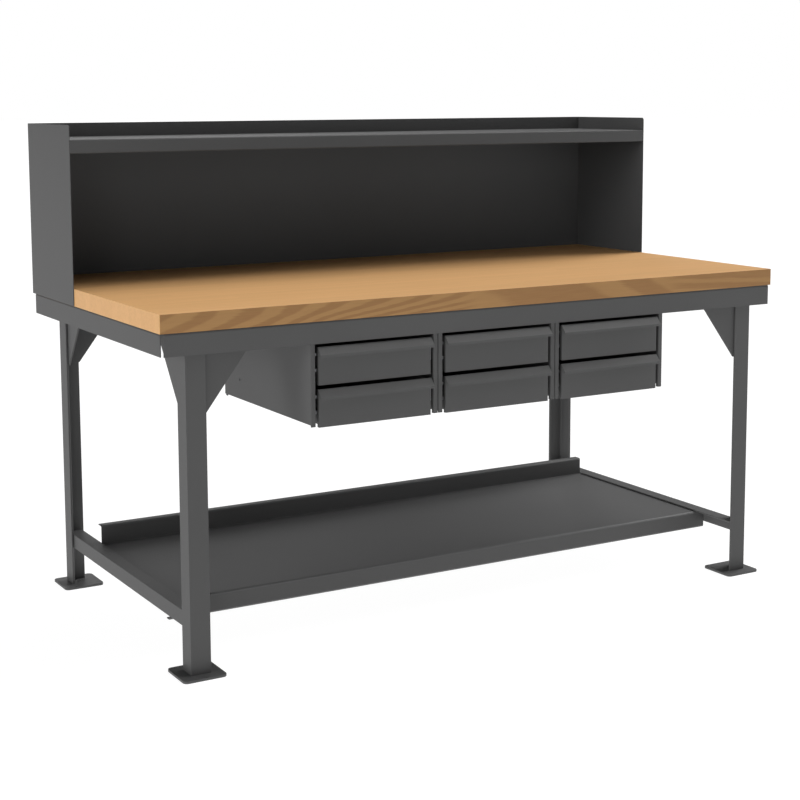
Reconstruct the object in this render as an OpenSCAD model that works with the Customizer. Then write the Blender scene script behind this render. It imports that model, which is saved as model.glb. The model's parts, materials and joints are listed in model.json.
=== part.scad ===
// Heavy-duty workbench: a wood top on a folded steel pan, angle-iron legs with gussets and
// foot plates, a lower shelf, a riser shelf at the back and three hung units of two drawers.
// Millimetres. +Z is up, the front faces -Y, and the origin is on the floor at the middle
// of the whole bench, foot plates included.

/* [Wood top] */
// Length of the wood top from end to end
top_w = 1828.8; // [1500:0.1:2400]
// Depth of the wood top from front to back
top_d = 911.7; // [760:0.1:1100]
// Thickness of the wood top
top_t = 44.45; // [35:0.05:60]
// Height of the working surface above the floor
top_h = 863.6; // [780:0.1:1000]
// Radius of the four upright corners of the wood
top_corner_r = 3; // [1:0.5:10]
// How far each end of the wood stands out past the steel rim
top_over_side = 2.8; // [0.5:0.1:10]
// How far the front of the wood stands out past the steel rim
top_over_front = 1.5; // [0.5:0.1:10]

/* [Steel pan under the wood] */
// Sheet thickness of the pan
pan_t = 2.7; // [1.5:0.1:5]
// Height of the rim that is folded down all round
pan_rim_h = 54; // [35:0.5:80]
// Inside radius of the folds
pan_bend_r = 3; // [1:0.5:6]
// Open notch at each corner, along both rims
pan_corner_gap = 6.5; // [6:0.5:14]

/* [Legs] */
// Width of both flanges of the leg angles
leg_w = 50.8; // [38:0.1:76.2]
// Thickness of the leg angles
leg_t = 6.35; // [3:0.05:9.6]
// Root fillet inside the leg angles
leg_root_r = 4; // [1:0.5:4]
// Rounding of the inner edge at the tips of a leg's flanges
leg_toe_r = 3; // [1:0.5:3]
// Distance from the side rim to the outer face of a leg
leg_inset_side = 62.2; // [20:0.1:120]
// Distance from the front or back rim to the outer face of a leg
leg_inset_front = 12.1; // [10:0.1:60]

/* [Foot plates] */
// Side of the square foot plates
foot_w = 110; // [90:1:160]
// Thickness of the foot plates
foot_t = 6.35; // [4:0.05:12.7]
// Corner radius of the foot plates
foot_corner_r = 12; // [4:1:25]
// Diameter of the hole for a floor bolt in each foot plate
foot_hole_d = 14; // [8:0.5:18]

/* [Gussets] */
// Thickness of the gusset plates
gusset_t = 4.8; // [3:0.1:8]
// How far a gusset reaches past the edge of its leg, under the pan
gusset_reach = 148; // [80:1:170]
// How far a gusset reaches down its leg
gusset_drop = 195; // [100:1:260]

/* [Side stretchers] */
// Width of both flanges of the stretcher angles
rail_bar_w = 38.1; // [30:0.1:50.8]
// Thickness of the stretcher angles
rail_bar_t = 4.8; // [3:0.1:6.4]
// Root fillet inside the stretcher angles
rail_bar_root_r = 2; // [0.5:0.5:4]
// Rounding of the inner edge at the tips of a stretcher's flanges
rail_bar_toe_r = 2.4; // [0.5:0.1:3]
// Height of the stretchers' top face above the floor
rail_bar_h = 147; // [90:1:300]

/* [Lower shelf] */
// Sheet thickness of the lower shelf
shelf_t = 2.7; // [1.5:0.1:5]
// Distance from the front rim back to the shelf's front lip
shelf_setback = 172.4; // [100:0.1:300]
// Depth of the shelf between its front lip and its back stop
shelf_d = 561.5; // [300:0.5:600]
// Height of the front lip that is folded down
shelf_lip_h = 49; // [25:0.5:80]
// Width of the return at the bottom of the front lip
shelf_lip_return = 19; // [8:0.5:30]
// Height of the back stop that is folded up
shelf_stop_h = 51; // [20:0.5:100]
// Width of the return at the top of the back stop
shelf_stop_return = 25; // [8:0.5:40]
// Inside radius of the shelf's folds
shelf_bend_r = 3; // [1:0.5:6]

/* [Riser shelf] */
// Sheet thickness of the riser
riser_t = 1.9; // [1:0.1:3]
// Depth of the riser from its front edges to its back face
riser_d = 336; // [200:1:450]
// Height of the riser's sides and back above the wood
riser_h = 416; // [200:1:600]
// How far the sides and the back stand up above the riser's shelf
riser_lip_up = 37; // [10:0.5:80]
// Height of the front lip that is folded down from the riser's shelf
riser_front_lip = 35.4; // [15:0.1:60]
// Width of the return at the bottom of that lip
riser_lip_return = 12; // [5:0.5:25]
// Height of the hidden flanges along the ends and the back of the riser's shelf
riser_flange = 25; // [10:1:34]
// Inside radius of the riser's folds
riser_bend_r = 2; // [1:0.5:4]
// Radius of the top front corner of each riser side
riser_corner_r = 8; // [2:1:25]

/* [Drawer units] */
// Width of one drawer unit
unit_w = 354.6; // [330:0.1:420]
// Gap between two units that hang side by side
unit_gap = 1; // [0.5:0.1:20]
// Depth of a unit
unit_d = 500; // [480:1:560]
// Sheet thickness of a unit
unit_t = 1.5; // [1:0.1:2.5]
// Width of the flanges that face the front at each side of a unit
unit_flange = 13; // [11:0.5:20]
// Depth of the edge folded back along the inner side of those flanges
unit_return = 9; // [6:0.5:10]
// Inside radius of a unit's folds
unit_bend_r = 1.5; // [0.5:0.5:3]
// Distance from the front rim back to a unit's front face
unit_setback = 4; // [3:0.5:40]
// How far a unit's flanges reach down past its sides
unit_tab = 4.5; // [1:0.5:15]
// Diameter of the hole in a unit's side at each rear slide bracket
unit_hole_d = 6; // [3:0.5:8]
// Distance from a unit's front face back to that hole
unit_hole_y = 405.5; // [380:0.5:410]
// Height of that hole above the middle of its slide
unit_hole_up = 4; // [0:0.5:8]

/* [Drawer faces and handles] */
// Width of a drawer face
face_w = 312; // [290:1:380]
// Height of a drawer face
face_h = 93; // [85:0.5:150]
// Sheet thickness of a drawer face
face_t = 1.5; // [1:0.1:2.5]
// Width of the returns along the sides and the bottom of a face
face_return = 8; // [4:0.5:8]
// Gap between the front rim and the top drawer face
face_gap_top = 7.8; // [4:0.1:20]
// Gap between the faces of two drawers, one above the other
face_gap = 9.5; // [3:0.1:20]
// How far the bottom face reaches down past its unit
face_below_unit = 2.6; // [0:0.1:8]
// How far the handle lip stands out from its face
handle_reach = 16; // [10:0.5:30]
// How far the slanted part of the handle lip drops
handle_drop = 18; // [8:0.5:30]
// Height of the upright edge at the end of the handle lip
handle_edge = 6; // [3:0.5:12]
// How far the handle lip stands past the face at each end
handle_over = 2; // [0:0.5:3]

/* [Drawer trays] */
// Sheet thickness of a tray
tray_t = 1.2; // [0.8:0.1:2]
// Depth of a tray from front to back
tray_d = 478; // [470:1:480]
// Gap from a face's bottom edge up to its tray
tray_lift = 5.5; // [3:0.5:25]
// Gap from a tray's top edge up to the top of its face
tray_below_face = 2.5; // [2.5:0.5:10]
// Height of the doubled hem along a tray's top edge
tray_hem_h = 8; // [4:0.5:15]
// Radius of a tray's upright corners
tray_corner_r = 3; // [1:0.5:8]

/* [Drawer slides] */
// Length of each slide member
slide_l = 457; // [400:1:470]
// Height of the outer slide member
slide_h = 46; // [40:0.5:60]
// Thickness of a whole slide
slide_w = 12.7; // [12:0.1:16]
// Sheet thickness of the slide members
slide_t = 1.3; // [1:0.1:1.5]
// Running clearance between slide members
slide_fit = 0.3; // [0.2:0.05:0.5]
// How far the rolled edges of the slide members hook over each other
slide_hook = 1.4; // [0.8:0.1:2.5]
// Radius of the bead along both edges of a drawer member
slide_bead_r = 1.2; // [1:0.05:1.3]
// Clearance between a slide and the edge of the unit's front flange
slide_side_fit = 0.6; // [0.3:0.1:1.5]
// Height of a slide's middle above the middle of its tray's side
slide_up = 6.5; // [0:0.5:10]
// Length of the feet of a slide bracket
bracket_foot = 22; // [15:1:40]
// Height of a slide bracket
bracket_h = 30; // [15:1:38]
// Sheet thickness of a slide bracket
bracket_t = 1.5; // [1:0.1:2.5]

/* [Fasteners] */
// Shank diameter of the lag screws
lag_d = 7.9; // [5:0.1:10]
// Length of a lag screw in the wood
lag_l = 32; // [20:1:34]
// Width across the flats of a lag screw's head
lag_head_af = 12.7; // [9:0.1:17]
// Height of a lag screw's head
lag_head_h = 5.5; // [3:0.1:8]
// Shank diameter of the riser's wood screws
wood_screw_d = 4.2; // [3:0.1:6]
// Length of the riser's wood screws
wood_screw_l = 38; // [20:1:60]
// Head diameter of the riser's wood screws
wood_screw_head_d = 8.4; // [6:0.1:12]
// Number of screws along the riser's back
wood_screw_count = 6; // [2:1:12]

/* [Fits] */
// Clearance round a screw in its hole
screw_fit = 0.05; // [0.02:0.01:0.2]
// Clearance round a lag screw in the sheet steel
sheet_hole_fit = 0.4; // [0.2:0.1:1]
// Gap between the riser's sheet and the wood
riser_fit = 0.3; // [0.1:0.1:1]
// Gap between the shelf and the root of the stretchers
shelf_fit = 0.25; // [0.1:0.05:2]
// Gap between the shelf's back stop and the edge of a stretcher's flange
stop_fit = 1.5; // [0.5:0.1:5]

/* [Hidden] */
CORNERS = [["front_left", -1, -1], ["front_right", 1, -1], ["back_left", -1, 1], ["back_right", 1, 1]];
ENDS = [["left", -1], ["right", 1]];
UNITS = [["left", -1], ["middle", 0], ["right", 1]];
ROWS = [["top", 0], ["bottom", 1]];
$fn = 48;

steel_grey = [0.34, 0.34, 0.35];
zinc = [0.72, 0.73, 0.75];
maple = [0.83, 0.66, 0.47];

// heights of the faces that carry other pieces
pan_top_z = top_h - top_t;
pan_under_z = pan_top_z - pan_t;
rim_bottom_z = pan_top_z - pan_rim_h;
riser_top_z = top_h + riser_h;
riser_shelf_z = riser_top_z - riser_lip_up;
shelf_z = rail_bar_h - rail_bar_t;

// plan of the pan and of the whole bench, with rim_y the front rim's outer face
pan_w = top_w - 2 * top_over_side;
pan_d = top_d - top_over_front + riser_fit + riser_t;
foot_proud = foot_w / 2 - leg_w / 2 - leg_inset_front;
front_proud = max(foot_proud, handle_reach - unit_setback, top_over_front);
back_proud = max(foot_proud, 0);
bench_d = front_proud + pan_d + back_proud;
rim_y = front_proud - bench_d / 2;
back_y = rim_y + pan_d;
pan_mid_y = (rim_y + back_y) / 2;
wood_front_y = rim_y - top_over_front;
wood_back_y = wood_front_y + top_d;
riser_front_y = back_y - riser_d;
riser_half_w = top_w / 2 + riser_fit;

// outer corner of a leg, measured from the middle of the pan
leg_x = pan_w / 2 - leg_inset_side;
leg_y = pan_d / 2 - leg_inset_front;
leg_l = pan_under_z - foot_t;
weld_clear = leg_root_r + 0.5;

// lower shelf, between the stretchers
bar_x = leg_x - leg_t;
shelf_half_w = bar_x - rail_bar_t - rail_bar_root_r - shelf_fit;
stop_half_w = bar_x - rail_bar_w - stop_fit;
shelf_front_y = rim_y + shelf_setback;
shelf_back_y = shelf_front_y + shelf_d;

// drawers: heights from the rim down
face_pitch = face_h + face_gap;
face_top_z = rim_bottom_z - face_gap_top;
face_bottom_z = face_top_z - face_h;
unit_bottom_z = face_bottom_z - face_pitch + face_below_unit;
unit_y = rim_y + unit_setback;
unit_pitch = unit_w + unit_gap;
unit_fold = unit_t + unit_bend_r;
unit_top_y = unit_y + pan_t + pan_bend_r;
unit_flange_top_z = pan_under_z - pan_bend_r - unit_fold;
slide_y = unit_y + face_t + face_return + 1.5;
slide_outer_x = unit_w / 2 - unit_flange - slide_side_fit;
tray_w = 2 * (slide_outer_x - slide_w);
tray_y = unit_y + face_t;
tray_h = face_h - tray_lift - tray_below_face;
tray_z = face_bottom_z + tray_lift;
slide_z = tray_z + tray_h / 2 + slide_up;
unit_hole_z = slide_z + unit_hole_up;
bracket_step = unit_w / 2 - unit_t - slide_outer_x;
bracket_y = unit_y + unit_hole_y - slide_y - 1.5 * bracket_foot - bracket_t / 2;

// where the screws go
worktop_lag_spots = [
    for (x = [-0.38, 0.38]) [x * top_w, rim_y + 0.135 * pan_d],
    for (x = [-0.38, -0.13, 0.13, 0.38]) for (y = [0.625, 0.91]) [x * top_w, rim_y + y * pan_d]
];
unit_lag_spots = [
    for (u = UNITS) for (x = [-1, 1]) for (y = [0.12, 0.88])
        [u[1] * unit_pitch + x * unit_w / 3, unit_y + y * unit_d]
];
wood_screw_z = pan_top_z + top_t / 2;

module rounded_square(w, d, r) {
    square([w - 2 * r, d], center = true);
    square([w, d - 2 * r], center = true);
    for (x = [-1, 1]) for (y = [-1, 1])
        translate([x * (w / 2 - r), y * (d / 2 - r)]) circle(r);
}

// an outline in (Y, Z) run along X, or an outline in (X, Z) run along Y, both about the middle
module run_x(len) {
    translate([-len / 2, 0, 0]) rotate([90, 0, 90]) linear_extrude(len) children();
}
module run_y(len) {
    translate([0, len / 2, 0]) rotate([90, 0, 0]) linear_extrude(len) children();
}

// the end of a sheet that is folded down: outer face on x = 0, the sheet's top on y = 0
module folded_lip(t, r, h) {
    fold = t + r;
    translate([-fold, -fold]) intersection() {
        difference() {
            circle(fold);
            circle(r);
        }
        square(fold);
    }
    translate([-t, -h]) square([t, h - fold]);
}

// the same lip with a return folded back under the sheet
module folded_lip_return(t, r, h, back) {
    fold = t + r;
    folded_lip(t, r, h - fold);
    translate([-fold, -h + fold]) intersection() {
        difference() {
            circle(fold);
            circle(r);
        }
        translate([0, -fold]) square(fold);
    }
    translate([-back, -h]) square([back - fold, t]);
}

// an angle section with its outer corner at the origin
module angle_outline(w, t, root, toe) {
    difference() {
        square(w);
        translate([t, t]) square(w);
        for (m = [0, 1]) mirror([m, -m]) translate([w - toe, t - toe]) difference() {
            square(toe + 1);
            circle(toe);
        }
    }
    difference() {
        translate([t, t]) square(root);
        translate([t + root, t + root]) circle(root);
    }
}

module at_corner(c) {
    translate([c[1] * leg_x, pan_mid_y + c[2] * leg_y, 0])
        mirror([c[1] > 0 ? 1 : 0, 0, 0]) mirror([0, c[2] > 0 ? 1 : 0, 0]) children();
}

module lag_screw(x, y, z) {
    translate([x, y, z - lag_head_h]) cylinder(h = lag_head_h, r = lag_head_af / sqrt(3), $fn = 6);
    translate([x, y, z]) cylinder(h = lag_l + pan_top_z - z, d = lag_d);
}

// Wood top
module worktop_board() {
    color(maple) difference() {
        translate([0, wood_front_y + top_d / 2, pan_top_z])
            linear_extrude(top_t) rounded_square(top_w, top_d, top_corner_r);
        for (s = concat(worktop_lag_spots, unit_lag_spots))
            translate([s[0], s[1], pan_top_z - 1])
                cylinder(h = lag_l + 1 + screw_fit, d = lag_d + 2 * screw_fit);
        riser_screw_places() rotate([90, 0, 0])
            translate([0, 0, -1]) cylinder(h = wood_screw_l + 1, d = wood_screw_d + 2 * screw_fit);
    }
}

// Steel pan: a flat sheet with four rims folded down and open corners
module top_pan() {
    fold = pan_t + pan_bend_r;
    color(steel_grey) difference() {
        union() {
            translate([0, pan_mid_y, pan_under_z + pan_t / 2])
                cube([pan_w - 2 * fold, pan_d - 2 * fold, pan_t], center = true);
            for (m = [0, 1])
                translate([0, pan_mid_y, pan_top_z]) mirror([0, m, 0]) translate([0, pan_d / 2, 0])
                    run_x(pan_w - 2 * pan_corner_gap) folded_lip(pan_t, pan_bend_r, pan_rim_h);
            for (m = [0, 1])
                translate([0, pan_mid_y, pan_top_z]) mirror([m, 0, 0]) translate([pan_w / 2, 0, 0])
                    run_y(pan_d - 2 * pan_corner_gap) folded_lip(pan_t, pan_bend_r, pan_rim_h);
        }
        for (s = concat(worktop_lag_spots, unit_lag_spots))
            translate([s[0], s[1], pan_under_z - 1])
                cylinder(h = pan_t + 2, d = lag_d + 2 * sheet_hole_fit);
    }
}

// Legs, foot plates and gussets, all drawn for one corner and mirrored to the other three
module leg(c) {
    color(steel_grey) at_corner(c) translate([0, 0, foot_t])
        linear_extrude(leg_l) angle_outline(leg_w, leg_t, leg_root_r, leg_toe_r);
}

module foot_plate(c) {
    color(steel_grey) at_corner(c) translate([leg_w / 2, leg_w / 2, 0]) difference() {
        linear_extrude(foot_t) rounded_square(foot_w, foot_w, foot_corner_r);
        translate([0, 0, -1]) cylinder(h = foot_t + 2, d = foot_hole_d);
    }
}

module gusset_outline(start) {
    polygon([
        [start, 0],
        [leg_w + gusset_reach, 0],
        [leg_w, -gusset_drop],
        [start, -gusset_drop]
    ]);
}

module gussets(c) {
    color(steel_grey) at_corner(c) translate([0, 0, pan_under_z]) {
        translate([0, leg_t + gusset_t, 0]) rotate([90, 0, 0])
            linear_extrude(gusset_t) gusset_outline(leg_t + weld_clear);
        translate([leg_t, 0, 0]) rotate([90, 0, 90])
            linear_extrude(gusset_t) gusset_outline(leg_t + weld_clear + gusset_t);
    }
}

// Side stretchers: angles with the upright flange outside and the other on top, inwards
module stretcher(e) {
    len = 2 * (leg_y - leg_t - weld_clear);
    color(steel_grey) mirror([e[1] > 0 ? 1 : 0, 0, 0])
        translate([-bar_x, pan_mid_y, rail_bar_h]) mirror([0, 0, 1])
            run_y(len) angle_outline(rail_bar_w, rail_bar_t, rail_bar_root_r, rail_bar_toe_r);
}

// Lower shelf: lip with a return at the front, stop with a return at the back
module lower_shelf() {
    fold = shelf_t + shelf_bend_r;
    color(steel_grey) {
        translate([-shelf_half_w, shelf_front_y + fold, shelf_z - shelf_t])
            cube([2 * shelf_half_w, shelf_d + shelf_t - 2 * fold, shelf_t]);
        translate([0, shelf_front_y, shelf_z]) mirror([0, 1, 0])
            run_x(2 * shelf_half_w)
                folded_lip_return(shelf_t, shelf_bend_r, shelf_lip_h, shelf_lip_return);
        translate([0, shelf_back_y + shelf_t, shelf_z - shelf_t]) mirror([0, 0, 1])
            run_x(2 * stop_half_w) folded_lip(shelf_t, shelf_bend_r, shelf_t + shelf_stop_h - fold);
        translate([0, shelf_back_y + shelf_t, shelf_z + shelf_stop_h]) shelf_stop_top(fold);
    }
}

// the fold at the top of the back stop, which leads to a return towards the back
module shelf_stop_top(fold) {
    run_x(2 * stop_half_w) {
        translate([shelf_bend_r, -fold]) intersection() {
            difference() {
                circle(fold);
                circle(shelf_bend_r);
            }
            translate([-fold, 0]) square(fold);
        }
        translate([shelf_bend_r, -shelf_t]) square([shelf_stop_return - fold, shelf_t]);
    }
}

// Riser: two sides and a back that stand up from the wood, with a shelf between them
module riser_side(e) {
    side_d = riser_d - riser_t;
    color(steel_grey) mirror([e[1] < 0 ? 1 : 0, 0, 0])
        translate([riser_half_w, riser_front_y, 0]) rotate([90, 0, 90]) linear_extrude(riser_t) {
            translate([0, pan_top_z + riser_fit])
                square([side_d, riser_top_z - pan_top_z - riser_fit - riser_corner_r]);
            translate([riser_corner_r, riser_top_z - riser_corner_r - 1])
                square([side_d - riser_corner_r, riser_corner_r + 1]);
            translate([riser_corner_r, riser_top_z - riser_corner_r]) circle(riser_corner_r);
        }
}

module riser_screw_places() {
    row_l = 0.89 * top_w;
    for (i = [0 : wood_screw_count - 1])
        translate([row_l * (i / (wood_screw_count - 1) - 0.5), back_y, wood_screw_z]) children();
}

module riser_back() {
    half = riser_half_w + riser_t;
    bottom_z = pan_top_z + riser_fit;
    color(steel_grey) difference() {
        translate([-half, back_y - riser_t, bottom_z])
            cube([2 * half, riser_t, riser_top_z - bottom_z]);
        riser_screw_places() rotate([90, 0, 0]) translate([0, 0, -0.5])
            cylinder(h = riser_t + 1, d1 = wood_screw_head_d + 1.2, d2 = wood_screw_d + 0.4);
    }
}

module riser_shelf() {
    fold = riser_t + riser_bend_r;
    shelf_len = 2 * riser_half_w;
    depth = riser_d - riser_t;
    mid_y = riser_front_y + depth / 2;
    color(steel_grey) {
        translate([0, mid_y, riser_shelf_z - riser_t / 2])
            cube([shelf_len - 2 * fold, depth - 2 * fold, riser_t], center = true);
        translate([0, riser_front_y, riser_shelf_z]) mirror([0, 1, 0])
            run_x(shelf_len)
                folded_lip_return(riser_t, riser_bend_r, riser_front_lip, riser_lip_return);
        translate([0, riser_front_y + depth, riser_shelf_z])
            run_x(shelf_len - 2 * fold) folded_lip(riser_t, riser_bend_r, riser_flange);
        for (m = [0, 1])
            mirror([m, 0, 0]) translate([shelf_len / 2, mid_y + fold / 2, riser_shelf_z])
                run_y(depth - 3 * fold) folded_lip(riser_t, riser_bend_r, riser_flange);
    }
}

// Drawer unit: one sheet folded into a top and two sides, with flanges that face the front
module unit_shell(u) {
    side_z = unit_bottom_z + unit_tab;
    body_d = unit_y + unit_d - unit_top_y;
    body_y = unit_top_y + body_d / 2;
    color(steel_grey) translate([u[1] * unit_pitch, 0, 0]) difference() {
        union() {
            translate([0, body_y, pan_under_z - unit_t / 2])
                cube([unit_w - 2 * unit_fold, body_d, unit_t], center = true);
            for (m = [0, 1]) mirror([m, 0, 0]) {
                translate([unit_w / 2, body_y, pan_under_z])
                    run_y(body_d) folded_lip(unit_t, unit_bend_r, pan_under_z - side_z);
                translate([unit_w / 2 - unit_t, unit_y + unit_fold, side_z])
                    cube([unit_t, unit_top_y - unit_y - unit_fold, unit_flange_top_z - side_z]);
                translate([unit_w / 2, unit_y, unit_bottom_z])
                    linear_extrude(unit_flange_top_z - unit_bottom_z) front_flange_outline();
            }
        }
        unit_lag_holes();
        for (r = ROWS)
            translate([-unit_w / 2 - 1, unit_y + unit_hole_y, unit_hole_z - r[1] * face_pitch])
                rotate([0, 90, 0]) cylinder(h = unit_w + 2, d = unit_hole_d);
    }
}

// a flange in plan: folded off the side, across the front and back again at its inner edge
module front_flange_outline() {
    for (m = [0, 1]) translate([-m * unit_flange, 0]) mirror([m, 0])
        translate([-unit_fold, unit_fold]) intersection() {
            difference() {
                circle(unit_fold);
                circle(unit_bend_r);
            }
            translate([0, -unit_fold]) square(unit_fold);
        }
    translate([unit_fold - unit_flange, 0]) square([unit_flange - 2 * unit_fold, unit_t]);
    translate([-unit_flange, unit_fold]) square([unit_t, unit_return - unit_fold]);
}

module unit_lag_holes() {
    for (x = [-1, 1]) for (y = [0.12, 0.88])
        translate([x * unit_w / 3, unit_y + y * unit_d, pan_under_z - unit_t - 1])
            cylinder(h = unit_t + 2, d = lag_d + 2 * sheet_hole_fit);
}

// Back of a unit: a sheet between the sides with flanges folded forwards
module unit_back(u) {
    inner_w = unit_w - 2 * unit_t;
    top_z = pan_under_z - unit_fold;
    color(steel_grey) translate([u[1] * unit_pitch, unit_y + unit_d, unit_bottom_z])
        linear_extrude(top_z - unit_bottom_z) {
            translate([-inner_w / 2 + unit_fold, -unit_t]) square([inner_w - 2 * unit_fold, unit_t]);
            for (m = [0, 1]) mirror([m, 0]) translate([inner_w / 2, 0])
                folded_lip(unit_t, unit_bend_r, unit_flange);
        }
}

// Slide members: three nested channels with rolled edges that hold each other. The outlines
// are in (distance out from the tray, height), and half of each is drawn and mirrored. The
// rolled edges are rings about one centre, with the running clearance between them.
mid_r = slide_bead_r + slide_fit + slide_t;
race_r = mid_r + slide_fit + slide_t;
race_x = slide_w - race_r;
race_z = slide_h / 2 - race_r;

module both_halves() {
    for (m = [0, 1]) mirror([0, m]) children();
}

module rolled_channel(r) {
    both_halves() {
        translate([race_x + r - slide_t, 0]) square([slide_t, race_z]);
        translate([race_x - r, race_z - slide_hook]) square([slide_t, slide_hook]);
        translate([race_x, race_z]) intersection() {
            difference() {
                circle(r);
                circle(r - slide_t);
            }
            translate([-r, 0]) square([2 * r, r]);
        }
    }
}

module drawer_member_outline() {
    flange_z = race_z - slide_hook - slide_fit;
    both_halves() {
        square([slide_t, flange_z]);
        translate([0, flange_z - slide_t]) square([race_x + slide_bead_r, slide_t]);
        translate([race_x - slide_bead_r, flange_z - slide_t])
            square([2 * slide_bead_r, race_z - flange_z + slide_t]);
        translate([race_x, race_z]) circle(slide_bead_r);
    }
}

// a Z-shaped bracket, drawn in plan, that carries a cabinet member off the side of the unit
module bracket_outline() {
    translate([slide_w, 0]) square([bracket_t, bracket_foot + bracket_t]);
    translate([slide_w, bracket_foot]) square([bracket_step, bracket_t]);
    translate([slide_w + bracket_step - bracket_t, bracket_foot])
        square([bracket_t, bracket_foot + bracket_t]);
}

module place_slide(u, r, dy = 0) {
    for (m = [0, 1])
        translate([u[1] * unit_pitch, slide_y + dy, slide_z - r[1] * face_pitch])
            mirror([m, 0, 0]) translate([tray_w / 2, 0, 0]) children();
}

module cabinet_rails(u) {
    color(zinc) for (r = ROWS) place_slide(u, r) difference() {
        union() {
            translate([0, slide_l / 2, 0]) run_y(slide_l) rolled_channel(race_r);
            for (y = [6, bracket_y])
                translate([0, y, -bracket_h / 2]) linear_extrude(bracket_h) bracket_outline();
        }
        translate([slide_w + 0.5, bracket_y + 1.5 * bracket_foot + bracket_t / 2, unit_hole_up])
            rotate([0, 90, 0]) cylinder(h = bracket_step + 1, d = unit_hole_d);
    }
}

module slide_members(u, r) {
    color(zinc) place_slide(u, r)
        translate([0, slide_l / 2, 0]) run_y(slide_l - 4) rolled_channel(mid_r);
}

module drawer_rails(u, r) {
    color(zinc) place_slide(u, r)
        translate([0, slide_l / 2, 0]) run_y(slide_l) drawer_member_outline();
}

// Drawer tray: a folded box, open at the top, with a doubled hem
module drawer_tray(u, r) {
    color(steel_grey)
        translate([u[1] * unit_pitch, tray_y + tray_d / 2, tray_z - r[1] * face_pitch])
            difference() {
                linear_extrude(tray_h) rounded_square(tray_w, tray_d, tray_corner_r);
                translate([0, 0, tray_t]) linear_extrude(tray_h - tray_hem_h - tray_t)
                    rounded_square(tray_w - 2 * tray_t, tray_d - 2 * tray_t, tray_corner_r - tray_t / 2);
                translate([0, 0, tray_h - tray_hem_h - 1]) linear_extrude(tray_hem_h + 2)
                    rounded_square(tray_w - 4 * tray_t, tray_d - 4 * tray_t, tray_corner_r);
            }
}

// Drawer front: a face with returns, and a full-width handle lip folded out of its top edge
module handle_outline() {
    slope = [handle_reach - face_t, -handle_drop];
    polygon([
        [face_t, 0],
        [0, 0],
        [-handle_reach, -handle_drop],
        [-handle_reach, -handle_drop - handle_edge],
        [face_t - handle_reach, -handle_drop - handle_edge],
        [face_t - handle_reach, -handle_drop + 0.45 * face_t * slope[1] / slope[0]],
        [0, -1.5 * face_t],
        [face_t, -1.5 * face_t]
    ]);
}

module drawer_front(u, r) {
    color(steel_grey)
        translate([u[1] * unit_pitch, unit_y, face_bottom_z - r[1] * face_pitch]) {
            translate([-face_w / 2, 0, 0]) cube([face_w, face_t, face_h - face_t]);
            translate([-face_w / 2, 0, 0]) cube([face_w, face_t + face_return, face_t]);
            for (m = [0, 1]) mirror([m, 0, 0])
                translate([face_w / 2 - face_t, 0, 0])
                    cube([face_t, face_t + face_return, face_h - 3 * face_t]);
            translate([0, 0, face_h]) run_x(face_w + 2 * handle_over) handle_outline();
        }
}

// Fasteners
module worktop_lag_screws() {
    color(zinc) for (s = worktop_lag_spots) lag_screw(s[0], s[1], pan_under_z);
}

module unit_lag_screws() {
    color(zinc) for (s = unit_lag_spots) lag_screw(s[0], s[1], pan_under_z - unit_t);
}

module riser_screws() {
    color(zinc) riser_screw_places() rotate([90, 0, 0]) {
        cylinder(h = riser_t, d1 = wood_screw_head_d, d2 = wood_screw_d);
        cylinder(h = wood_screw_l - 1, d = wood_screw_d);
    }
}

worktop_board();
top_pan();
for (c = CORNERS) {
    leg(c);
    foot_plate(c);
    gussets(c);
}
for (e = ENDS) {
    stretcher(e);
    riser_side(e);
}
lower_shelf();
riser_back();
riser_shelf();
for (u = UNITS) {
    unit_shell(u);
    unit_back(u);
    cabinet_rails(u);
    for (r = ROWS) {
        slide_members(u, r);
        drawer_rails(u, r);
        drawer_tray(u, r);
        drawer_front(u, r);
    }
}
worktop_lag_screws();
unit_lag_screws();
riser_screws();
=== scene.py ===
# %% [markdown]
# # A heavy steel workbench, dressed in Blender
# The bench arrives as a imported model: every sheet, angle and screw is already at its size and
# place. This lesson gives it its looks: soft edges, powder coat, maple and zinc, and a studio.
# Loading the frame first means that nothing has to be measured or fitted by eye.

# %% Load the bench
import json
import math
import bpy
from mathutils import Matrix, Vector

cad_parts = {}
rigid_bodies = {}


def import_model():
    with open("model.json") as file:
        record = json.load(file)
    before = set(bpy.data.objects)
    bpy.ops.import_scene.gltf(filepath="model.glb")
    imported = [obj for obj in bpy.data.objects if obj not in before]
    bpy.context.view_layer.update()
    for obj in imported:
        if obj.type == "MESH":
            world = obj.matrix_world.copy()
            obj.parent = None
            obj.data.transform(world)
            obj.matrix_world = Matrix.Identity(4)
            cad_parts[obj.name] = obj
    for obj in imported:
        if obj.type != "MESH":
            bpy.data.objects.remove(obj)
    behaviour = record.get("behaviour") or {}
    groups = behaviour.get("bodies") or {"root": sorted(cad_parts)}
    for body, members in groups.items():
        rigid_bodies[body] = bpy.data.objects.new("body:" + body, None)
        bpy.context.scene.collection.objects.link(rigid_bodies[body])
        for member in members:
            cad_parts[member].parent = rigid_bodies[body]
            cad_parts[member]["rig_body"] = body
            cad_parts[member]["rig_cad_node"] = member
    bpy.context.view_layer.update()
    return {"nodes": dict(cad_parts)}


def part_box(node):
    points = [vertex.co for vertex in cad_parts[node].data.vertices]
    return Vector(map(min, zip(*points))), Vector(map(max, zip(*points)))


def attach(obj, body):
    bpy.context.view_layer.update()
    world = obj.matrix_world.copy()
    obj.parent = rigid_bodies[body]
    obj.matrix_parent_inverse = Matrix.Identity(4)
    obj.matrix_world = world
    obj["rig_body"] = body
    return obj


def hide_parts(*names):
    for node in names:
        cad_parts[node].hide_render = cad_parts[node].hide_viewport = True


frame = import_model()
nodes = frame["nodes"]

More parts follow.
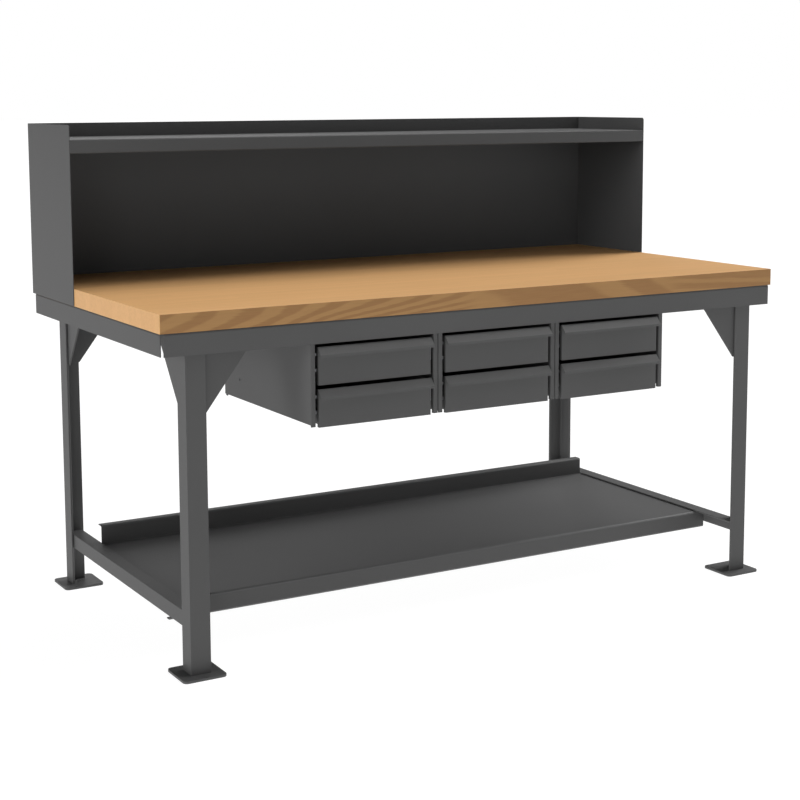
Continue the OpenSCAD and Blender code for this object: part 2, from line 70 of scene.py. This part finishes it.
# %% [markdown]
# ## The camera
# The picture was taken from the front left, a little above the riser. A camera could be aimed by
# eye, but here its place and three angles were solved from the bench's straight edges, so they are
# typed in: a turn about the upright axis, a tilt down and a very small roll. The lens is also
# shifted down a little, which keeps the upright edges nearly parallel.

# %% Camera
camera_place = (-2.2590, -3.8462, 1.3490)
camera_turn, camera_tilt, camera_roll = 30.16, 7.17, -0.22
camera_data = bpy.data.cameras.new("photo_camera")
camera_data.sensor_width, camera_data.lens = 36.0, 73.01
camera_data.shift_y = -0.125
camera_data.clip_end = 400.0
camera = bpy.data.objects.new("photo_camera", camera_data)
bpy.context.scene.collection.objects.link(camera)
camera.matrix_world = (
    Matrix.Translation(camera_place)
    @ Matrix.Rotation(math.radians(-camera_turn), 4, "Z")
    @ Matrix.Rotation(math.radians(90 - camera_tilt), 4, "X")
    @ Matrix.Rotation(math.radians(camera_roll), 4, "Z")
)
bpy.context.scene.camera = camera
print("camera height:", round(camera.location.z, 3), "m, lens", camera_data.lens, "mm")

# %% [markdown]
# ## The studio
# The bench stands on a pale floor in an evenly bright room. A wide plane is the floor, and a big
# ball round everything is the room's white wall. The wall is only looked at and lights nothing.

# %% Floor and wall
floor_size, wall_radius = 190, 90
bpy.ops.object.select_all(action="DESELECT")
bpy.ops.mesh.primitive_plane_add(size=floor_size, location=(0, 0, 0))
floor = bpy.context.active_object
floor.name = "studio_floor"
bpy.ops.mesh.primitive_uv_sphere_add(segments=48, ring_count=24, radius=wall_radius,
                                     location=(0, 0, 0))
wall = bpy.context.active_object
wall.name = "studio_wall"
wall.visible_diffuse = wall.visible_glossy = wall.visible_shadow = False
wall.visible_transmission = wall.visible_volume_scatter = False
print("stage pieces:", floor.name, wall.name)

# %% [markdown]
# A white floor would turn grey wherever the bench throws a shadow, and the real picture shows no
# shadow at all. So the floor's own colour is dark and it glows evenly instead: a shadow can take
# almost nothing away from it, and its glow is the soft light that reaches the bench from below.
# The wall is painted in the same way, black with a white glow.


# %% Studio paint
def glowing_paint(name, grey, glow):
    """A dull paint of this grey that glows white and even."""
    made = bpy.data.materials.new(name)
    made.use_nodes = True
    shader = made.node_tree.nodes["Principled BSDF"]
    shader.inputs["Base Color"].default_value = (grey, grey, grey, 1)
    shader.inputs["Roughness"].default_value = 1.0
    shader.inputs["Specular IOR Level"].default_value = 0.0
    shader.inputs["Emission Color"].default_value = (1, 1, 1, 1)
    shader.inputs["Emission Strength"].default_value = glow
    return made


floor.data.materials.append(glowing_paint("pale_floor", 0.15, 0.97))
wall.data.materials.append(glowing_paint("white_wall", 0.0, 1.0))
print("studio paints:", floor.data.materials[0].name, wall.data.materials[0].name)

# %% [markdown]
# ## The light
# The world's own light is nearly off. Besides the floor, wide suns light the bench: their rays are
# equally strong everywhere, and their width makes the shadows soft. Low ones fill the fronts and
# the left, and the strongest come from the right, as on the real picture. Trying strengths one by
# one takes long, because each changes every face. Instead each light was rendered alone, and the
# pictures were added up with different shares until the tones of the faces matched.

# %% Lights
bpy.context.scene.view_settings.view_transform = "Standard"
world = bpy.data.worlds.new("studio_light")
bpy.context.scene.world = world
world.use_nodes = True
background = world.node_tree.nodes["Background"]
background.inputs["Color"].default_value = (1, 1, 1, 1)
background.inputs["Strength"].default_value = 0.03


def wide_sun(name, azimuth, elevation, strength, spread):
    """A soft sun. Azimuth 0 stands in front of the bench and -90 to its left."""
    data = bpy.data.lights.new(name, "SUN")
    data.energy, data.angle = strength, math.radians(spread)
    sun = bpy.data.objects.new(name, data)
    bpy.context.scene.collection.objects.link(sun)
    sun.rotation_euler = (math.radians(90 - elevation), 0, math.radians(azimuth))


wide_sun("left_sun", -80, 25, 0.30, 40)
wide_sun("left_low_sun", -82, 9, 0.70, 20)
wide_sun("right_sun", 95, 25, 2.00, 40)
wide_sun("right_high_sun", 95, 50, 1.60, 40)
wide_sun("back_sun", 170, 25, 0.45, 40)
wide_sun("front_low_sun", 0, 8, 0.08, 16)
wide_sun("front_left_sun", -35, 8, 0.16, 16)
wide_sun("key_sun", 50, 60, 0.17, 40)

# %% [markdown]
# ## Writing materials as sums
# A material is a net of nodes. Wiring each by hand is slow to read, so one small class holds an
# output socket and lets it be added, multiplied or rounded like a number: every operator adds the
# Math node that does it. All other nodes come from one method.


# %% Shader sums
class Wire:
    """An output socket of a material. Sums with it add Math nodes."""

    def __init__(self, tree, socket):
        self.tree, self.socket = tree, socket

    def node(self, kind, settings, inputs, out=0):
        """Adds a node: its settings first, then the values or wires of its inputs."""
        made = self.tree.nodes.new(kind)
        for name, value in settings.items():
            if name == "stops":
                stops = made.color_ramp.elements
                while len(stops) < len(value):
                    stops.new(1.0)
                for stop, (at, tone) in zip(stops, value):
                    stop.position, stop.color = at, (tone, tone, tone, 1)
            else:
                setattr(made, name, value)
        for name, value in inputs.items():
            if isinstance(value, Wire):
                self.tree.links.new(value.socket, made.inputs[name])
            else:
                made.inputs[name].default_value = value
        return Wire(self.tree, made.outputs[out])

    def sum(self, operation, *values):
        return self.node("ShaderNodeMath", {"operation": operation}, dict(enumerate(values)))

    def __add__(self, other):
        return self.sum("ADD", self, other)

    def __sub__(self, other):
        return self.sum("SUBTRACT", self, other)

    def __rsub__(self, other):
        return self.sum("SUBTRACT", other, self)

    def __mul__(self, other):
        return self.sum("MULTIPLY", self, other)

    def __truediv__(self, other):
        return self.sum("DIVIDE", self, other)

    def __rtruediv__(self, other):
        return self.sum("DIVIDE", other, self)

    def __pow__(self, other):
        return self.sum("POWER", self, other)

    def __rpow__(self, other):
        return self.sum("POWER", other, self)

    def __abs__(self):
        return self.sum("ABSOLUTE", self)

    def __floor__(self):
        return self.sum("FLOOR", self)

    __radd__, __rmul__ = __add__, __mul__


# %% [markdown]
# The nodes that are used again and again get short names too: a soft step, noise, a ramp of
# greys, a mix of two colours and a bump.


# %% Short names for common nodes
def step(wire, low, high):
    """0 below low, 1 above high, and smooth between them."""
    return wire.node("ShaderNodeMapRange", {"interpolation_type": "SMOOTHSTEP"},
                     {"Value": wire, "From Min": low, "From Max": high})


def noise(place, scale, detail=2.0, roughness=0.5, distortion=0.0):
    return place.node("ShaderNodeTexNoise", {},
                      {"Vector": place, "Scale": scale, "Detail": detail,
                       "Roughness": roughness, "Distortion": distortion})


def chance(wire):
    """A fixed random number for each whole number."""
    return wire.node("ShaderNodeTexWhiteNoise", {"noise_dimensions": "1D"}, {"W": wire})


def ramp(wire, stops):
    """A ramp of greys. Each stop is a place on the ramp and the grey there."""
    return wire.node("ShaderNodeValToRGB", {"stops": stops}, {"Fac": wire})


def point(x, y, z):
    wire = next(v for v in (x, y, z) if isinstance(v, Wire))
    return wire.node("ShaderNodeCombineXYZ", {}, {0: x, 1: y, 2: z})


def axes(wire):
    """The x, y and z of a place or a direction."""
    split = wire.node("ShaderNodeSeparateXYZ", {}, {0: wire}).socket.node
    return [Wire(wire.tree, socket) for socket in split.outputs]


def mix(share, first, second):
    """A colour between two: the first where the share is 0, the second where it is 1."""
    return share.node("ShaderNodeMix", {"data_type": "RGBA"}, {0: share, 6: first, 7: second}, 2)


def bump(height, strength, distance):
    return height.node("ShaderNodeBump", {},
                       {"Height": height, "Strength": strength, "Distance": distance})


def new_finish(name):
    """A new material with its shader, and the place and direction of each point on a piece."""
    made = bpy.data.materials.new(name)
    made.use_nodes = True
    tree = made.node_tree
    place = tree.nodes.new("ShaderNodeTexCoord").outputs["Object"]
    facing = tree.nodes.new("ShaderNodeNewGeometry").outputs["Normal"]
    return made, tree.nodes["Principled BSDF"], Wire(tree, place), Wire(tree, facing)


def feed(shader, name, value):
    value.tree.links.new(value.socket, shader.inputs[name])


# %% [markdown]
# ## Grey powder coat
# The steel is sprayed with powder that melts into a tough satin skin. Two things give it away:
# a faint orange peel about two millimetres across, and a tone that drifts a little over a large
# sheet. The first is a fine bump and a change in roughness, the second a slow noise on the colour.
# The slanted handle lips and the front fold of the lower shelf get a painted highlight. This
# lighter grey stands in for the light from above and in front that these faces catch, which the
# lamps here leave too weak. Both are found from the surface's direction: there it looks forwards
# and up at once. On the shelf only what lies close to its front counts, not the fold at its back.

# %% Powder coat
dark_coat, pale_coat = (0.0925, 0.0925, 0.0927, 1), (0.1065, 0.1065, 0.1067, 1)
# Lighter greys painted on as highlights: one for the handle lips and one for the shelf's front
# fold.
handle_painted_highlight, shelf_fold_painted_highlight = 0.110, 0.150
drift_scale, peel_scale, speck_scale = 2.3, 420.0, 1900.0
# The shelf's painted highlight covers the first 8 mm behind its front edge and fades out by 12 mm.
fold_depth, fold_end = 0.008, 0.012
satin, dull_specular = 0.42, 0.25


def powder(name, highlight_grey=None, front=None):
    """Grey powder coat. Slanted faces take a lighter grey, a painted highlight given as the second
    argument. Where front is the y of a piece's front edge, only those in the fold at that edge take
    it."""
    coat, shader, place, facing = new_finish(name)
    drift = noise(place, drift_scale, 3.0)
    peel = noise(place, peel_scale, 2.0, 0.55)
    speck = noise(place, speck_scale, 1.0)
    tone = step(drift, 0.3, 0.7) * 0.55 + step(speck, 0.35, 0.65) * 0.45
    colour = mix(tone, dark_coat, pale_coat)
    # Painted highlight: faces that look forwards and up at once get a lighter grey in place of the
    # light they would catch.
    if highlight_grey is not None:
        _, facing_y, facing_z = axes(facing)
        highlight_mask = step(abs(facing_y * facing_z), 0.02, 0.28)
        if front is not None:
            _, place_y, _ = axes(place)
            highlight_mask = highlight_mask * (1.0 - step(place_y, front + fold_depth, front + fold_end))
        colour = mix(highlight_mask, colour, (highlight_grey, highlight_grey, highlight_grey, 1))
    feed(shader, "Base Color", colour)
    feed(shader, "Roughness", peel * 0.12 + drift * 0.1 + satin)
    shader.inputs["Specular IOR Level"].default_value = dull_specular
    feed(shader, "Normal", bump(peel, 0.35, 0.00025))
    print(name, "nodes:", len(coat.node_tree.nodes))
    return coat


powder_coat = powder("grey_powder_coat")
# These two coats carry the painted highlight. The plain coat has none.
handle_coat_painted_highlight = powder("handle_coat_with_painted_highlight", handle_painted_highlight)
shelf_coat_painted_highlight = powder("shelf_coat_with_painted_highlight", shelf_fold_painted_highlight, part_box("lower_shelf")[0].y)

# %% [markdown]
# ## Maple, seen from above
# The top is one board of long maple strips, glued side by side and lacquered. From a few steps
# away it is nearly plain, so strips, fibres and glue lines differ only a little. Every strip is
# made of shorter staves, and each stave gets a random number of its own, which shifts its tone
# and the place of its fibres.

# %% Strips and fibres
board_low, board_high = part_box("worktop_board")
strip_width, stave_length = 0.038, 1.15
glue_start, glue_full = 0.484, 0.498
pale_maple, dark_maple = (0.89, 0.506, 0.218, 1), (0.80, 0.456, 0.192, 1)
maple, shader, place, facing = new_finish("lacquered_maple")
across, depth, height = axes(place)
row = (depth - board_low.y) / strip_width
strip = math.floor(row)
stave = (across + chance(strip) * stave_length) / stave_length
own = chance(strip * 7.3 + math.floor(stave))
fibre = noise(point(across * 9.0 + own * 40.0, depth * 310.0, height * 310.0), 1.0, 3.0)
ring_place = point(across * 1.9 + own * 17.0, depth * 42.0 + own * 9.0, height * 42.0)
ring = noise(ring_place, 1.0, 2.0, 0.5, 0.5)
glue = step(abs(row - strip - 0.5), glue_start, glue_full)
top_tone = own * 0.3 + step(fibre, 0.3, 0.7) * 0.3 + step(ring, 0.35, 0.65) * 0.4 + glue * 0.5
top_colour = mix(top_tone, pale_maple, dark_maple)
print("strips:", round((board_high.y - board_low.y) / strip_width))

# %% [markdown]
# ## Maple, on the long front edge
# Here the saw crossed the year rings at a slant, which leaves a bold wavy figure: leaning bands on
# the left, a few broad patches in the middle and long flat streaks on the right. Noise alone never
# gives that order. Each of the three parts is drawn along a slanted coordinate that noise bends.

# %% Three coordinates for the front figure
from_left = across - board_low.x
up = (height - board_low.z) / (board_high.z - board_low.z)
down = 1.0 - up
grain = noise(point(across * 14.0, 0.0, height * 420.0), 1.0, 3.0)
bend = noise(point(across * 7.0, 0.0, height * 40.0), 1.0, 3.0) - 0.5 + (grain - 0.5) * 0.5
lean = step(from_left, 0.25, 0.52) * 0.17 + 0.10
band_at = from_left + lean * down ** 1.6 + bend * 0.045
patch_at = across - down * 0.09 + bend * 0.05 + 0.1
streak_at = up + (across - 0.57) * 1.05 + bend * 0.35
print("front edge:", round(board_high.x - board_low.x, 3), "m long")

# %% [markdown]
# The bands come at equal steps, so a cosine draws them. Patches and streaks differ in width, so
# a ramp of greys lists each of them: patches from left to right, streaks from bottom to top.

# %% Front figure
first_band, band_step = 0.235, 0.115
wave = (band_at - first_band) * (math.tau / band_step)
bands = step(wave.sum("COSINE", wave), -0.45, 0.6)
patches = ramp(patch_at, [(0.0, 0.0), (0.04, 0.1), (0.085, 0.9), (0.35, 1.0), (0.38, 0.1),
                          (0.46, 0.0), (0.485, 0.95), (0.565, 1.0), (0.59, 0.1), (0.665, 0.05),
                          (0.69, 0.9)])
streaks = ramp(streak_at, [(0.0, 0.0), (0.16, 0.1), (0.27, 0.9), (0.5, 1.0), (0.6, 0.15),
                           (0.76, 0.1), (0.88, 1.0), (1.0, 0.8)])
to_middle, to_right = step(across, -0.13, -0.04), step(across, 0.52, 0.62)
left_part = bands + (patches - bands) * to_middle
figure = left_part + (streaks - left_part) * to_right
front_tone = figure * 0.78 + step(grain, 0.3, 0.7) * 0.22
pale_figure, dark_figure = (0.443, 0.248, 0.0965, 1), (0.335, 0.174, 0.067, 1)
front_colour = mix(front_tone, pale_figure, dark_figure)
print("bands every", band_step * 1000, "mm")

# %% [markdown]
# ## Maple, on the ends, and the lacquer
# On the ends every strip shows its cut fibres: faint bent rings and fine pores. The direction that
# a face looks chooses between the three colours, and the lacquer is one even satin over them all.

# %% Ends and lacquer
end_place = point(own * 11.0, depth * 55.0 + own * 5.0, height * 75.0)
end_ring = noise(end_place, 1.0, 2.0, 0.5, 1.2)
pore = noise(point(0.0, depth * 1400.0, height * 1400.0), 1.0, 1.0)
end_tone = own * 0.35 + step(end_ring, 0.4, 0.6) * 0.35 + step(pore, 0.45, 0.7) * 0.3 + glue * 0.4
pale_end, dark_end = (0.82, 0.468, 0.195, 1), (0.73, 0.405, 0.164, 1)
end_colour = mix(end_tone, pale_end, dark_end)
facing_x, facing_y, _ = axes(facing)
is_front, is_end = step(abs(facing_y), 0.6, 0.8), step(abs(facing_x), 0.6, 0.8)
wood = mix(is_end, mix(is_front, top_colour, front_colour), end_colour)
feed(shader, "Base Color", wood)
feed(shader, "Roughness", fibre * 0.12 + satin)
shader.inputs["Specular IOR Level"].default_value = dull_specular
feed(shader, "Normal", bump(fibre * 0.6 - glue * 0.8, 0.25, 0.0002))
print("maple nodes:", len(maple.node_tree.nodes))

# %% [markdown]
# ## Zinc
# Slides and screws are zinc plated: a metal with a soft shine and faint cloudy patches. Two noises
# are enough, a broad one for the clouds and a fine one that breaks up the shine.

# %% Zinc
dark_zinc, pale_zinc = (0.50, 0.51, 0.53, 1), (0.66, 0.67, 0.68, 1)
zinc, shader, place, facing = new_finish("bright_zinc")
cloud = noise(place, 60.0, 3.0)
fine = noise(place, 900.0, 1.0)
feed(shader, "Base Color", mix(cloud, dark_zinc, pale_zinc))
feed(shader, "Roughness", cloud * 0.2 + fine * 0.08 + 0.24)
shader.inputs["Metallic"].default_value = 1.0
print("zinc nodes:", len(zinc.node_tree.nodes))

# %% [markdown]
# ## From drawing edges to made edges
# A drawn edge has no width, and nothing real is that sharp: a sheared sheet keeps a tiny round
# after coating, and that thin line catches the light. Each part could be modelled again, but its
# shape is already right, so a copy is made instead. Its loose triangles are joined, flat faces
# become one face each, and a small bevel breaks the edges. Bends that are already round are
# flatter than the bevel's limit and stay as they are.

# %% A joined-up copy
same_place, flat_limit = 0.00001, math.radians(0.5)


def only(*pieces):
    """Selects these pieces and nothing else."""
    bpy.ops.object.select_all(action="DESELECT")
    for piece in pieces:
        piece.select_set(True)
    bpy.context.view_layer.objects.active = pieces[0]


def merged_copy(node):
    """A copy of a CAD node with its triangles joined, still open in edit mode."""
    only(nodes[node])
    bpy.ops.object.duplicate()
    bpy.ops.object.mode_set(mode="EDIT")
    bpy.ops.mesh.select_all(action="SELECT")
    bpy.ops.mesh.remove_doubles(threshold=same_place)
    return bpy.context.active_object


def copy_of(node, name):
    """A joined-up copy of a CAD node that stands for it."""
    piece = merged_copy(node)
    bpy.ops.mesh.dissolve_limited(angle_limit=flat_limit)
    bpy.ops.object.mode_set(mode="OBJECT")
    piece.name = piece.data.name = name
    del piece["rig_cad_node"]
    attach(piece, nodes[node]["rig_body"])
    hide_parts(node)
    return piece


# %% [markdown]
# A bevel alone would leave the big faces shaded as if they were curved. Weighted normals put that
# right: the large flat faces decide the shading, and only the narrow rounds turn the light.

# %% Softened edges and a finish
bevel_limit = math.radians(30)


def apply_all(piece):
    only(piece)
    for modifier in list(piece.modifiers):
        bpy.ops.object.modifier_apply(modifier=modifier.name)


def soften(piece, width, rounds=2, smooth=50):
    """Breaks sharp edges. Weighted normals keep the large faces looking flat."""
    bevel = piece.modifiers.new("soft_edges", "BEVEL")
    bevel.width, bevel.segments = width, rounds
    bevel.limit_method, bevel.angle_limit = "ANGLE", bevel_limit
    apply_all(piece)
    bpy.ops.object.shade_smooth_by_angle(angle=math.radians(smooth))
    even = piece.modifiers.new("flat_faces", "WEIGHTED_NORMAL")
    even.weight, even.keep_sharp = 100, True
    apply_all(piece)


def paint(piece, finish):
    piece.data.materials.clear()
    piece.data.materials.append(finish)


# %% [markdown]
# ## Steel parts
# Thick plate and angle iron get a wider round than thin folded sheet, and the drawers' sheet is
# the thinnest. The widths are in metres.

# %% Steel parts
plate = ("leg_", "foot_plate_", "gussets_", "stretcher_")
sheet = ("top_pan", "lower_shelf", "riser_side", "riser_back", "riser_shelf")
drawer_sheet = ("unit_shell", "unit_back", "drawer_tray", "drawer_front")
plate_round, sheet_round, drawer_round = 0.0007, 0.0004, 0.00025


def coat_for(node):
    # Drawer fronts and the lower shelf take the coats with the painted highlight on their slanted
    # faces.
    if node.startswith("drawer_front"):
        return handle_coat_painted_highlight
    return shelf_coat_painted_highlight if node == "lower_shelf" else powder_coat


for starts, width in ((plate, plate_round), (sheet, sheet_round), (drawer_sheet, drawer_round)):
    group = [node for node in nodes if node.startswith(starts)]
    for node in group:
        piece = copy_of(node, node + "_coated")
        soften(piece, width)
        paint(piece, coat_for(node))
    print(len(group), "parts softened by", width * 1000, "mm")

# %% [markdown]
# ## The wood top
# Its long edges are eased with a little more round, in three steps, so that a hand slides over
# them. Nothing else changes: the pattern comes from the material. Warm light that bounces off the
# wood would tint the grey steel behind it, which stays neutral in the real picture, so the board is
# left out of what the diffuse bounces see. It still throws its shadow and looks the same itself.

# %% Wood top
board_round = 0.0012
board = copy_of("worktop_board", "maple_board")
soften(board, board_round, 3)
paint(board, maple)
board.visible_diffuse = False
print("board faces:", len(board.data.polygons))

# %% [markdown]
# ## Slides
# The slides' rolled edges run three tenths of a millimetre apart, so their CAD meshes stay as they
# are and only get the zinc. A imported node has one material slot, and changing it leaves its mesh
# alone.

# %% Slides
slides = [n for n in nodes if n.startswith(("cabinet_rails", "slide_members", "drawer_rails"))]
for node in slides:
    paint(nodes[node], zinc)
print("slide nodes in zinc:", len(slides))

# %% [markdown]
# ## Hexagon heads
# Lag screws pull the top down from below. A head is more than a six-sided prism: its outer corners
# are turned off, its face is a little hollow, and a round flange sits where it meets the sheet.
# One screw is modelled and then copied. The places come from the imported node: its loose parts are
# split, and the box of each part is one place.


# %% Boxes of the screws
def part_boxes(node):
    """The box of each loose part of a node, as its lowest and its highest corner."""
    merged_copy(node)
    bpy.ops.mesh.separate(type="LOOSE")
    bpy.ops.object.mode_set(mode="OBJECT")
    parts = list(bpy.context.selected_objects)
    boxes = []
    for part in parts:
        corners = [v.co for v in part.data.vertices]
        low = Vector([min(c[n] for c in corners) for n in range(3)])
        high = Vector([max(c[n] for c in corners) for n in range(3)])
        boxes.append((low, high))
    for part in parts:
        bpy.data.objects.remove(part)
    return boxes


worktop_boxes = part_boxes("worktop_lag_screws")
unit_boxes = part_boxes("unit_lag_screws")
riser_boxes = part_boxes("riser_screws")
print("screws:", len(worktop_boxes), len(unit_boxes), len(riser_boxes))

# %% [markdown]
# Two helpers do the rest: one picks faces by where they are and where they look, as a hand would
# pick them with the mouse, and one puts copies of a finished piece in their places.

# %% Picking and copying
straight = 0.9


def faces_where(piece, wanted):
    """Opens the piece in edit mode and selects the faces whose middle and direction are wanted."""
    bpy.ops.object.mode_set(mode="EDIT")
    bpy.ops.mesh.select_mode(type="FACE")
    bpy.ops.mesh.select_all(action="DESELECT")
    bpy.ops.object.mode_set(mode="OBJECT")
    for face in piece.data.polygons:
        face.select = wanted(face.center, face.normal)
    bpy.ops.object.mode_set(mode="EDIT")


def copies_at(master, spots, name):
    """Copies of a piece that was modelled round the origin, one at each spot, in one mesh."""
    made = []
    for spot in spots:
        only(master)
        bpy.ops.object.duplicate()
        copy = bpy.context.active_object
        copy.location = spot
        made.append(copy)
    only(*made)
    bpy.ops.object.join()
    joined = bpy.context.active_object
    bpy.ops.object.transform_apply(location=True, rotation=True, scale=True)
    joined.name = joined.data.name = name
    bpy.data.objects.remove(master)
    return joined


# %% [markdown]
# The screw is modelled as it sits under the sheet, with its head down and its shank up. The
# hexagon is a six-sided cylinder whose lowest face is bevelled at its rim and pressed in. The
# flange is a flat disc on top of it, and the disc's middle is extruded upwards into the shank.

# %% One lag screw
head_height, flange_height = 0.0055, 0.0011
chamfer, rim_width, hollow_depth, shank_radius = 0.0009, 0.0012, 0.0004, 0.0039
lowest, screw_round = 0.0001, 0.0002
first_low, first_high = worktop_boxes[0]
across_corners = first_high.x - first_low.x
shank_length = first_high.z - first_low.z - head_height
hexagon_radius, flange_radius = across_corners / 2 * 0.97, across_corners / 2 * 0.99
hexagon_height = head_height - flange_height


def lag_screw_master():
    bpy.ops.object.select_all(action="DESELECT")
    bpy.ops.mesh.primitive_cylinder_add(
        vertices=6, radius=hexagon_radius, depth=hexagon_height,
        location=(0, 0, hexagon_height / 2), rotation=(0, 0, math.radians(30)))
    head = bpy.context.active_object
    bpy.ops.object.transform_apply(location=True, rotation=True, scale=True)
    faces_where(head, lambda middle, way: way.z < -straight)
    bpy.ops.mesh.bevel(offset=chamfer, segments=2, affect="EDGES")
    faces_where(head, lambda middle, way: way.z < -straight and middle.z < lowest)
    bpy.ops.mesh.inset(thickness=rim_width)
    bpy.ops.transform.translate(value=(0, 0, hollow_depth))
    bpy.ops.object.mode_set(mode="OBJECT")
    bpy.ops.mesh.primitive_cylinder_add(
        vertices=24, radius=flange_radius, depth=flange_height,
        location=(0, 0, head_height - flange_height / 2))
    flange = bpy.context.active_object
    faces_where(flange, lambda middle, way: way.z > straight)
    bpy.ops.mesh.inset(thickness=flange_radius - shank_radius)
    bpy.ops.mesh.extrude_region_move(TRANSFORM_OT_translate={"value": (0, 0, shank_length)})
    bpy.ops.object.mode_set(mode="OBJECT")
    only(flange, head)
    bpy.ops.object.join()
    screw = bpy.context.active_object
    bpy.ops.object.transform_apply(location=True, rotation=True, scale=True)
    soften(screw, screw_round, 1, 30)
    return screw


print("lag screw:", round(across_corners * 1000, 1), "mm head,", round(shank_length * 1000, 1),
      "mm shank")

# %% [markdown]
# Each set of lag screws is one piece that stands for its CAD node. A place is the middle of a
# screw's box, at its lowest point, because the screw was modelled from there upwards.

# %% Lag screws
for name, node, boxes in (("worktop_lag_heads", "worktop_lag_screws", worktop_boxes),
                          ("unit_lag_heads", "unit_lag_screws", unit_boxes)):
    under = [((low.x + high.x) / 2, (low.y + high.y) / 2, low.z) for low, high in boxes]
    screws = copies_at(lag_screw_master(), under, name)
    paint(screws, zinc)
    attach(screws, "bench")
    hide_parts(node)
    print(name, len(under), "screws,", len(screws.data.polygons), "faces")

# %% [markdown]
# ## Wood screws in the riser's back
# Their flat heads sit flush in the sheet, seen from behind. A cone is the head, with its wide end
# outwards, and the narrow end is extruded into the shank.

# %% One wood screw
sink_depth, wood_shank_radius, wood_screw_round = 0.0019, 0.0021, 0.00012
first_low, first_high = riser_boxes[0]
head_radius = (first_high.x - first_low.x) / 2
screw_length = first_high.y - first_low.y
bpy.ops.object.select_all(action="DESELECT")
bpy.ops.mesh.primitive_cone_add(
    vertices=32, radius1=head_radius, radius2=wood_shank_radius, depth=sink_depth,
    location=(0, -sink_depth / 2, 0), rotation=(math.radians(90), 0, 0))
wood_screw = bpy.context.active_object
bpy.ops.object.transform_apply(location=True, rotation=True, scale=True)
faces_where(wood_screw, lambda middle, way: way.y < -straight)
bpy.ops.mesh.extrude_region_move(
    TRANSFORM_OT_translate={"value": (0, -(screw_length - sink_depth), 0)})
bpy.ops.object.mode_set(mode="OBJECT")
print("wood screw:", round(screw_length * 1000, 1), "mm long")

# %% [markdown]
# The driver's recess is a cross that gets narrower as it goes in. A four-sided cone pressed flat
# is one arm of it. Its middle lies on the face of the head, so half of it cuts, and it is cut out
# twice, a quarter turn apart.

# %% Cross recess
arm_wide, arm_narrow, arm_length, arm_flat = 0.0030, 0.0012, 0.0024, 0.28
for squeeze in ((1, 1, arm_flat), (arm_flat, 1, 1)):
    bpy.ops.mesh.primitive_cone_add(
        vertices=4, radius1=arm_wide, radius2=arm_narrow, depth=arm_length,
        location=(0, 0, 0), rotation=(math.radians(90), 0, 0))
    cutter = bpy.context.active_object
    cutter.rotation_euler[1] = math.radians(45)
    bpy.ops.object.transform_apply(location=True, rotation=True, scale=True)
    cutter.scale = squeeze
    bpy.ops.object.transform_apply(location=True, rotation=True, scale=True)
    cut = wood_screw.modifiers.new("cross", "BOOLEAN")
    cut.operation, cut.object, cut.solver = "DIFFERENCE", cutter, "EXACT"
    apply_all(wood_screw)
    bpy.data.objects.remove(cutter)
soften(wood_screw, wood_screw_round, 1, 30)
print("wood screw faces:", len(wood_screw.data.polygons))

# %% [markdown]
# The copies go where the CAD has them. Each screw's place is the middle of its box, on the face
# that looks backwards.

# %% Wood screws
backs = [((low.x + high.x) / 2, high.y, (low.z + high.z) / 2) for low, high in riser_boxes]
wood_screws = copies_at(wood_screw, backs, "riser_wood_screws")
paint(wood_screws, zinc)
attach(wood_screws, "bench")
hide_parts("riser_screws")
print("wood screws:", len(backs))
